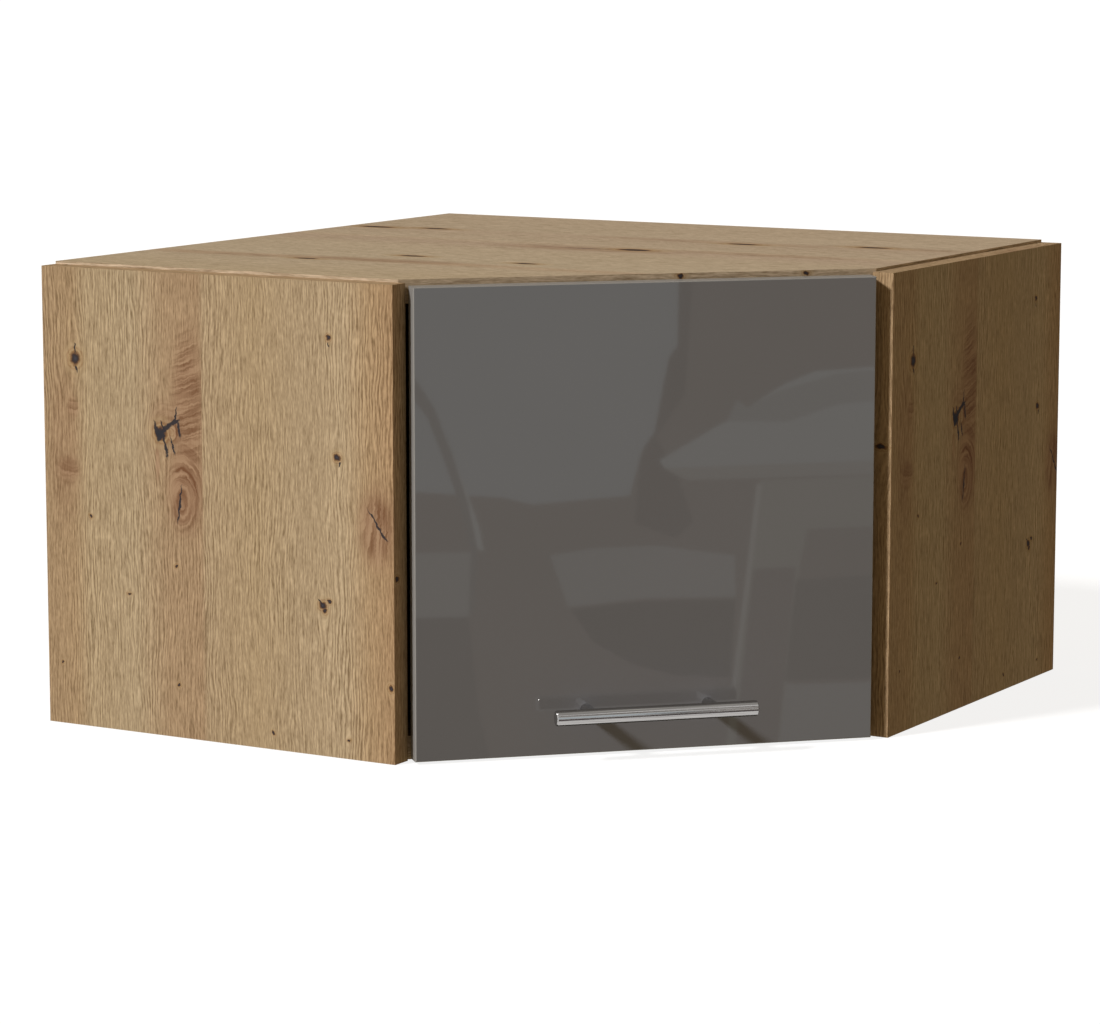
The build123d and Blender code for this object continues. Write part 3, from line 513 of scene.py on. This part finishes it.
def gloss_film():
    """High-gloss acrylic film on the front, satin band on the edges, matt melamine behind.

    The front mirrors the studio with a trace of orange peel; the edges look a tone lighter.
    """
    material, tree = blank_material("gloss_film")
    coordinates = node(tree, "TexCoord")
    facing = node(
        tree, "VectorMath", {0: coordinates.outputs["Normal"], 1: OUT_OF_FRONT}, operation="DOT_PRODUCT"
    )
    front = node(
        tree, "MapRange", {"Value": facing, "From Min": 0.93, "From Max": 0.985},
        interpolation_type="SMOOTHSTEP",
    )
    behind = node(tree, "Math", {0: facing, 1: -0.7}, operation="LESS_THAN")
    place = coordinates.outputs["Object"]
    peel = node(tree, "TexNoise", {"Vector": place, "Scale": PEEL_SCALE, "Detail": 1.0})
    cloud = node(tree, "TexNoise", {"Vector": place, "Scale": CLOUD_SCALE, "Detail": 3.0})
    film = node(
        tree, "Mix", {"Factor": cloud, "A": linear("#76777b"), "B": linear("#7a7a7f")},
        data_type="RGBA",
    )
    speckle = node(tree, "TexNoise", {"Vector": place, "Scale": SPECKLE_SCALE, "Detail": 2.0})
    melamine = node(
        tree, "Mix", {"Factor": speckle, "A": linear("#74716d"), "B": linear("#807d79")},
        data_type="RGBA",
    )
    band = node(
        tree, "Mix", {"Factor": front, "A": linear("#8d8b88"), "B": film}, data_type="RGBA"
    )
    colour = node(tree, "Mix", {"Factor": behind, "A": band, "B": melamine}, data_type="RGBA")
    gloss = node(tree, "MapRange", {"Value": front, "To Min": 0.32, "To Max": 0.03})
    finish = node(tree, "Mix", {"Factor": behind, "A": gloss, "B": 0.5})
    bump = node(tree, "Bump", {"Strength": 0.05, "Distance": 0.02 * MM, "Height": peel})
    finish_with(tree, Base_Color=colour, Roughness=finish, Normal=bump, IOR=1.5)
    return material


def two_tone(name, light, dark, width, length, direction, roughness, relief, detail=2.0, **constants):
    """A fine streaked or speckled surface, from the spacing of its streaks in millimetres.

    direction is the axis that the streaks run along, 0, 1 or 2, or None for a speckle.
    """
    material, tree = blank_material(name)
    coordinates = node(tree, "TexCoord")
    scale = [1 / (width * MM)] * 3
    if direction is not None:
        scale[direction] = 1 / (length * MM)
    cell = node(
        tree, "VectorMath", {0: coordinates.outputs["Object"], 1: scale}, operation="MULTIPLY"
    )
    streaks = node(tree, "TexNoise", {"Vector": cell, "Scale": 1.0, "Detail": detail})
    spread = node(tree, "MapRange", {"Value": streaks, "From Min": 0.32, "From Max": 0.68})
    colour = node(
        tree, "Mix", {"Factor": spread, "A": linear(light), "B": linear(dark)}, data_type="RGBA"
    )
    finish = node(tree, "MapRange", {"Value": spread, "To Min": roughness[0], "To Max": roughness[1]})
    bump = node(tree, "Bump", {"Strength": 0.4, "Distance": relief * MM, "Height": spread})
    finish_with(tree, Base_Color=colour, Roughness=finish, Normal=bump, **constants)
    return material


def pressed_hardboard():
    """Hardboard back: a wet-pressed fibre sheet, pale and speckled with short brown fibres."""
    return two_tone(
        "pressed_hardboard", "#cbb690", "#a88e64", 2.6, 0, None, (0.55, 0.7), 0.05, 4.0, IOR=1.5
    )


def planed_softwood():
    """Planed spruce batten: straight pale grain with a faint sheen, upright."""
    return two_tone(
        "planed_softwood", "#d9bd8b", "#b98f57", 2.2, 180, 2, (0.45, 0.6), 0.08, 3.0, IOR=1.5
    )


def turned_beech():
    """Turned beech dowels: pinkish, with short darker flecks."""
    return two_tone("turned_beech", "#cfa678", "#b5875a", 0.7, 6, 0, (0.5, 0.62), 0.04, IOR=1.5)


def brushed_stainless():
    """Stainless bar, brushed along its length: fine lines that spread highlights across it."""
    material, tree = blank_material("brushed_stainless")
    coordinates = node(tree, "TexCoord")
    # brush lines are finer than a pixel here, so they are drawn 0.5 mm apart
    turned = node(
        tree,
        "Mapping",
        {"Vector": coordinates.outputs["Object"], "Rotation": (0, 0, radians(45)),
         "Scale": (60 * MM, 0.5 * MM, 0.5 * MM)},
        vector_type="TEXTURE",
    )
    lines = node(tree, "TexNoise", {"Vector": turned, "Scale": 1.0, "Detail": 3.0})
    colour = node(
        tree,
        "ValToRGB",
        {0: lines},
        stops=[(0.3, linear("#93908d")), (0.5, linear("#afacaa")), (0.72, linear("#c4c1be"))],
    )
    finish = node(tree, "MapRange", {"Value": lines, "To Min": 0.07, "To Max": 0.18})
    bump = node(tree, "Bump", {"Strength": 0.3, "Distance": 0.03 * MM, "Height": lines})
    finish_with(tree, Base_Color=colour, Roughness=finish, Normal=bump, Metallic=1.0)
    return material


def nickel_plate():
    """Bright nickel on pressed steel: warm silver, slightly soft reflections."""
    return two_tone(
        "nickel_plate", "#d3cfc8", "#bdb8b0", 3.0, 0, None, (0.16, 0.26), 0.01, Metallic=1.0
    )


def zinc_plate():
    """Clear-passivated zinc on screws and brackets: cool, a little cloudy."""
    return two_tone(
        "zinc_plate", "#c3c6ca", "#a7abb0", 1.6, 0, None, (0.26, 0.42), 0.02, Metallic=1.0
    )


def die_cast_zinc():
    """Zinc die casting: grey, with the fine grain of the mould."""
    return two_tone(
        "die_cast_zinc", "#aeb0b2", "#8f9194", 0.8, 0, None, (0.38, 0.55), 0.05, Metallic=1.0
    )


def black_tube_paint():
    """Satin black stove enamel on the strut's tube."""
    return two_tone(
        "black_tube_paint", "#1c1c1d", "#232324", 1.0, 0, None, (0.28, 0.36), 0.02, IOR=1.5
    )


def hard_chrome():
    """Ground and hard-chromed rod: a clean mirror with hairlines round it."""
    return two_tone(
        "hard_chrome", "#dcdddf", "#cfd0d2", 0.5, 0, None, (0.06, 0.1), 0.003, Metallic=1.0
    )


def moulded_black():
    """Black acetal, moulded: even, with a fine matt texture."""
    return two_tone("moulded_black", "#1f1f20", "#292929", 0.6, 0, None, (0.42, 0.55), 0.03, IOR=1.48)


def moulded_white():
    """White polyamide, moulded: warm white with a faint mould texture."""
    return two_tone("moulded_white", "#e4e1d9", "#dcd8cf", 0.6, 0, None, (0.4, 0.5), 0.02, IOR=1.53)


def buffer_polyurethane():
    """Clear-grey polyurethane buffers: soft, slightly milky."""
    return two_tone(
        "buffer_polyurethane", "#c4c3bf", "#b4b3af", 0.8, 0, None, (0.3, 0.4), 0.01, IOR=1.5
    )


FINISHES = {
    "hardboard": pressed_hardboard,
    "batten_wood": planed_softwood,
    "dowel_wood": turned_beech,
    "gloss_grey": gloss_film,
    "brushed_steel": brushed_stainless,
    "nickel_steel": nickel_plate,
    "zinc_steel": zinc_plate,
    "zinc_casting": die_cast_zinc,
    "black_tube": black_tube_paint,
    "chrome_rod": hard_chrome,
    "black_plastic": moulded_black,
    "white_plastic": moulded_white,
    "buffer_rubber": buffer_polyurethane,
}


def dress_nodes():
    """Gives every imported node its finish, by the slot that the record names for it."""
    finishes = {slot: make() for slot, make in FINISHES.items()}
    boards = oak_boards()
    for part in frame["record"]["subparts"]:
        name = part["node"]
        material = boards.get(name) or finishes[part["material_slot"]]
        mesh = frame["nodes"][name].data
        mesh.materials.clear()
        mesh.materials.append(material)


dress_nodes()

# ---------------------------------------------------------------------------
# Camera: the photograph's viewpoint, worked out from its vanishing lines
# ---------------------------------------------------------------------------
CAMERA_PLACE = Vector((1.5641, -2.6956, 0.6248))
CAMERA_AZIMUTH = radians(30.401)
CAMERA_ELEVATION = radians(8.648)
CAMERA_LENS = 126.88
SENSOR_WIDTH = 36.0


def link(thing):
    """Puts an object in the scene and hands it back."""
    bpy.context.scene.collection.objects.link(thing)
    return thing


def direction_of(azimuth, elevation):
    """Unit vector towards an azimuth, counted from -Y round to +X, and an elevation."""
    return Vector((
        sin(azimuth) * cos(elevation),
        -cos(azimuth) * cos(elevation),
        sin(elevation),
    ))


def aim(thing, towards):
    """Points a camera or a lamp against the given direction."""
    thing.rotation_mode = "QUATERNION"
    thing.rotation_quaternion = (-towards).to_track_quat("-Z", "Y")


def make_camera():
    data = bpy.data.cameras.new("front_right_camera")
    data.sensor_width = SENSOR_WIDTH
    data.lens = CAMERA_LENS
    camera = link(bpy.data.objects.new("front_right_camera", data))
    camera.location = CAMERA_PLACE
    aim(camera, direction_of(CAMERA_AZIMUTH, CAMERA_ELEVATION))
    bpy.context.scene.camera = camera


make_camera()


# ---------------------------------------------------------------------------
# Floor, world and lamp
# ---------------------------------------------------------------------------
WHITE = (1.0, 1.0, 1.0, 1.0)
FLOOR_REACH = 60.0
FLOOR_DROP = 0.4 * MM
FLOOR_PAINT = (0.26, 0.26, 0.26, 1.0)
FLOOR_GLOW = (0.84, 0.84, 0.84, 1.0)
# what lights the object from below and from above, apart from the lamp
GROUND_SHADE = (0.252, 0.202, 0.124, 1.0)
SKY_SHADE = (0.244, 0.188, 0.113, 1.0)


def pale_rays(tree):
    """1 for the rays that meet the eye, a polished surface or glass, and 0 for all others."""
    path = node(tree, "LightPath")
    mirrored = node(
        tree,
        "Math",
        {0: path.outputs["Is Glossy Ray"], 1: path.outputs["Is Transmission Ray"]},
        operation="MAXIMUM",
    )
    return node(tree, "Math", {0: path.outputs["Is Camera Ray"], 1: mirrored}, operation="MAXIMUM")


def floor_finish():
    """Pale studio floor: white but for the object's soft shadow, and clear from below."""
    material, tree = blank_material("studio_floor")
    lit = node(tree, "BsdfDiffuse", {"Color": FLOOR_PAINT})
    glow = node(tree, "Emission", {"Color": FLOOR_GLOW, "Strength": 1.0})
    seen = node(tree, "AddShader", {0: lit, 1: glow})
    under = node(tree, "NewGeometry").outputs["Backfacing"]
    from_below = node(tree, "MixShader", {0: under, 1: seen, 2: node(tree, "BsdfTransparent")})
    node(tree, "OutputMaterial", {"Surface": from_below})
    return material


def staged(name, corners, material):
    """A flat piece of the studio, from its corners in order."""
    mesh = bpy.data.meshes.new(name)
    mesh.from_pydata([tuple(corner) for corner in corners], [], [tuple(range(len(corners)))])
    mesh.materials.append(material)
    piece = link(bpy.data.objects.new(name, mesh))
    return piece


def level_square(reach, height):
    """Corners of a level square round the object, this far out and this high."""
    turns = ((-1, -1), (1, -1), (1, 1), (-1, 1))
    return [Vector((x * reach, y * reach, height)) for x, y in turns]


def make_floor():
    """The floor shows the shadow alone: the world below it lights the underside."""
    floor = staged("studio_floor", level_square(FLOOR_REACH, -FLOOR_DROP), floor_finish())
    floor.visible_glossy = False
    floor.visible_diffuse = False
    floor.visible_shadow = False


def make_world():
    """White to the eye and in reflections; a low warm grey where it lights the object."""
    world = bpy.data.worlds.new("studio")
    bpy.context.scene.world = world
    world.use_nodes = True
    tree = world.node_tree
    tree.nodes.clear()
    direction = node(tree, "TexCoord").outputs["Generated"]
    lift = node(tree, "VectorMath", {0: direction, 1: UP}, operation="DOT_PRODUCT")
    downward = node(tree, "Math", {0: lift, 1: 0.0}, operation="LESS_THAN")
    shade = node(
        tree, "Mix", {"Factor": downward, "A": SKY_SHADE, "B": GROUND_SHADE}, data_type="RGBA"
    )
    colour = node(
        tree, "Mix", {"Factor": pale_rays(tree), "A": shade, "B": WHITE}, data_type="RGBA"
    )
    node(tree, "OutputWorld", {"Surface": node(tree, "Background", {"Color": colour})})


KEY_AZIMUTH = radians(-27.0)
KEY_ELEVATION = radians(37.0)
KEY_STRENGTH = 3.37
KEY_SOFTNESS = radians(8.0)


def make_key_lamp():
    data = bpy.data.lights.new("key_lamp", "SUN")
    data.energy = KEY_STRENGTH
    data.angle = KEY_SOFTNESS
    lamp = link(bpy.data.objects.new("key_lamp", data))
    aim(lamp, direction_of(KEY_AZIMUTH, KEY_ELEVATION))


# ---------------------------------------------------------------------------
# Studio cards: glowing sheets round the object, no lamps, that only its polished surfaces see: painted
# reflections
# ---------------------------------------------------------------------------
FLAP_FRONT = max(v.co.dot(OUT_OF_FRONT) for v in frame["nodes"]["flap_panel"].data.vertices)
CARD_DISTANCE = 0.90
CARD_STEP = 0.01  # each card stands this much nearer than the one before it
DARK_CARD = (0.36, 0.31, 0.28)
CARDS_LEFT, CARDS_RIGHT, CARDS_FOOT, CARDS_HEAD = -230, 240, -40, 420  # past the flap's edges
# colour and outline of each glowing card, a painted reflection on the flap; the outline is
# where it shows on the flap, in millimetres along the front and up, as seen from the camera
FRONT_CARDS = (
    ("tall_card", (0.74, 0.84, 0.90),
     ((-230, 420), (24, 420), (23, 311), (16, 301), (5, 245), (-4, 233), (-14, 198), (-90, 194),
      (-112, 200), (-230, 212))),
    ("low_left_card", (0.18, 0.17, 0.16),
     ((-230, 113), (-139, 111), (-131, 35), (-112, -40), (-230, -40))),
    ("left_card", (0.62, 0.64, 0.62), ((-230, 162), (-135, 160), (-139, 111), (-230, 113))),
    ("bent_dark_card", (0.30, 0.30, 0.30),
     ((-200, 310), (-178, 290), (-165, 270), (-151, 234), (-139, 196), (-132, 160), (-135, 112),
      (-139, 112), (-137, 160), (-145, 194), (-157, 229), (-170, 262), (-200, 300))),
    ("bent_pale_card", (0.92, 0.98, 0.98),
     ((-151, 234), (-139, 196), (-132, 162), (-127, 160), (-131, 180), (-141, 208))),
    ("upright_dark_card", (0.16, 0.13, 0.12),
     ((24, 420), (38, 420), (29, 274), (9, 245), (-6, 226), (-10, 177), (22, 164), (36, 176), (24, 210),
      (5, 222), (-4, 233), (5, 245), (16, 301), (23, 311))),
    ("slab_card", (0.82, 0.90, 0.92),
     ((9, 224), (55, 249), (62, 252), (107, 279), (132, 288), (240, 293), (240, 210), (23, 212),
      (13, 218))),
    ("slab_shade_card", (0.58, 0.62, 0.62),
     ((62, 252), (70, 268), (78, 262), (104, 274), (150, 286), (240, 290), (240, 268), (150, 262),
      (110, 250))),
    ("slab_edge_card", (0.66, 0.66, 0.62), ((13, 218), (240, 218), (240, 207), (32, 208), (23, 212))),
    ("post_card", (0.58, 0.58, 0.52),
     ((88, 206), (240, 206), (240, 167), (127, 167), (121, 138), (103, -40), (58, -40), (66, 25),
      (81, 141))),
    ("post_pale_edge", (0.88, 0.88, 0.84),
     ((86, 203), (90, 203), (83, 141), (68, 25), (65, 25), (79, 141))),
    ("post_shade_card", (0.30, 0.25, 0.24), ((84, 138), (118, 138), (101, -40), (70, -40), (72, 25))),
    ("middle_card", (0.64, 0.66, 0.66),
     ((-76, 155), (-42, 159), (8, 159), (69, 149), (70, 117), (-2, 119), (-62, 115))),
    ("hollow_card", (0.10, 0.09, 0.08),
     ((-60, 113), (-2, 117), (70, 115), (66, 55), (24, 58), (-12, 69), (-42, 87))),
    ("far_right_card", (0.60, 0.62, 0.62), ((111, 47), (240, 44), (240, -40), (101, -40))),
    ("far_right_dark_card", (0.16, 0.15, 0.14), ((118, 128), (240, 130), (240, 47), (110, 50))),
    # past the flap, only the round handle bar mirrors these: painted pale and dark reflection bands
    # along it
    ("handle_upper_card", (0.50, 0.49, 0.47), ((-300, 700), (300, 700), (300, 421), (-300, 421))),
    ("handle_upper_line", (0.16, 0.14, 0.13), ((-300, 690), (300, 690), (300, 570), (-300, 570))),
    ("handle_lower_line", (0.08, 0.06, 0.06), ((-300, -41), (300, -41), (300, -170), (-300, -170))),
)
BACK_CARD_DISTANCE = 2.0
BACK_CARD_HALF_WIDTH = 12.0
BACK_CARD_HEIGHT = 7.0
BACK_CARD_SHADE = (0.035, 0.030, 0.022)
CEILING_HEIGHT = 2.4
CEILING_REACH = 1.9
CEILING_SHADE = (0.50, 0.49, 0.47)


def card_glow(name, colour):
    """Plain sheet that glows evenly in its own colour, though it is no lamp: a painted reflection."""
    material, tree = blank_material(name)
    node(tree, "OutputMaterial", {"Surface": node(tree, "Emission", {"Color": (*colour, 1.0)})})
    return material


def make_card(name, corners, colour):
    """A glowing studio card that shows in polished surfaces and nowhere else: a painted reflection."""
    card = staged(name, corners, card_glow(name, colour))
    card.visible_camera = False
    card.visible_diffuse = False
    card.visible_transmission = False
    card.visible_shadow = False


def seen_in_flap(along, up, distance):
    """The place, this far out from the flap, that the camera sees mirrored at a point of it."""
    on_flap = ALONG_FRONT * along * MM + OUT_OF_FRONT * FLAP_FRONT + Vector(UP) * up * MM
    out = (CAMERA_PLACE - on_flap).dot(OUT_OF_FRONT)
    mirrored_camera = CAMERA_PLACE - 2 * out * OUT_OF_FRONT
    return on_flap + (on_flap - mirrored_camera) * (distance / out)


def make_front_cards():
    """Painted reflections on the flap: a dark glowing card behind, for the whole flap, and paler and
    darker ones in front of it.
    """
    backing = (
        (CARDS_LEFT, CARDS_HEAD),
        (CARDS_RIGHT, CARDS_HEAD),
        (CARDS_RIGHT, CARDS_FOOT),
        (CARDS_LEFT, CARDS_FOOT),
    )
    corners = [seen_in_flap(along, up, CARD_DISTANCE + CARD_STEP) for along, up in backing]
    make_card("dark_backing_card", corners, DARK_CARD)
    for index, (name, colour, outline) in enumerate(FRONT_CARDS):
        distance = CARD_DISTANCE - CARD_STEP * index
        make_card(name, [seen_in_flap(along, up, distance) for along, up in outline], colour)


def make_back_card():
    """A faintly glowing dark card behind the object: a painted dark reflection that keeps the matt
    boards free of haze at low angles.
    """
    behind = -direction_of(CAMERA_AZIMUTH, 0.0)
    aside = Vector((behind.y, -behind.x, 0.0))
    middle = behind * BACK_CARD_DISTANCE
    foot, head = Vector((0, 0, -BACK_CARD_HEIGHT)), Vector((0, 0, BACK_CARD_HEIGHT))
    left, right = middle - aside * BACK_CARD_HALF_WIDTH, middle + aside * BACK_CARD_HALF_WIDTH
    corners = [left + foot, right + foot, right + head, left + head]
    make_card("dark_back_card", corners, BACK_CARD_SHADE)


def make_ceiling_card():
    """A mid-grey glowing card overhead: a painted dimmer reflection that tones down the top of the
    handle bar.
    """
    make_card("ceiling_card", level_square(CEILING_REACH, CEILING_HEIGHT), CEILING_SHADE)


make_floor()
make_world()
make_key_lamp()
make_front_cards()
make_back_card()
make_ceiling_card()
bpy.context.scene.view_settings.view_transform = "Standard"
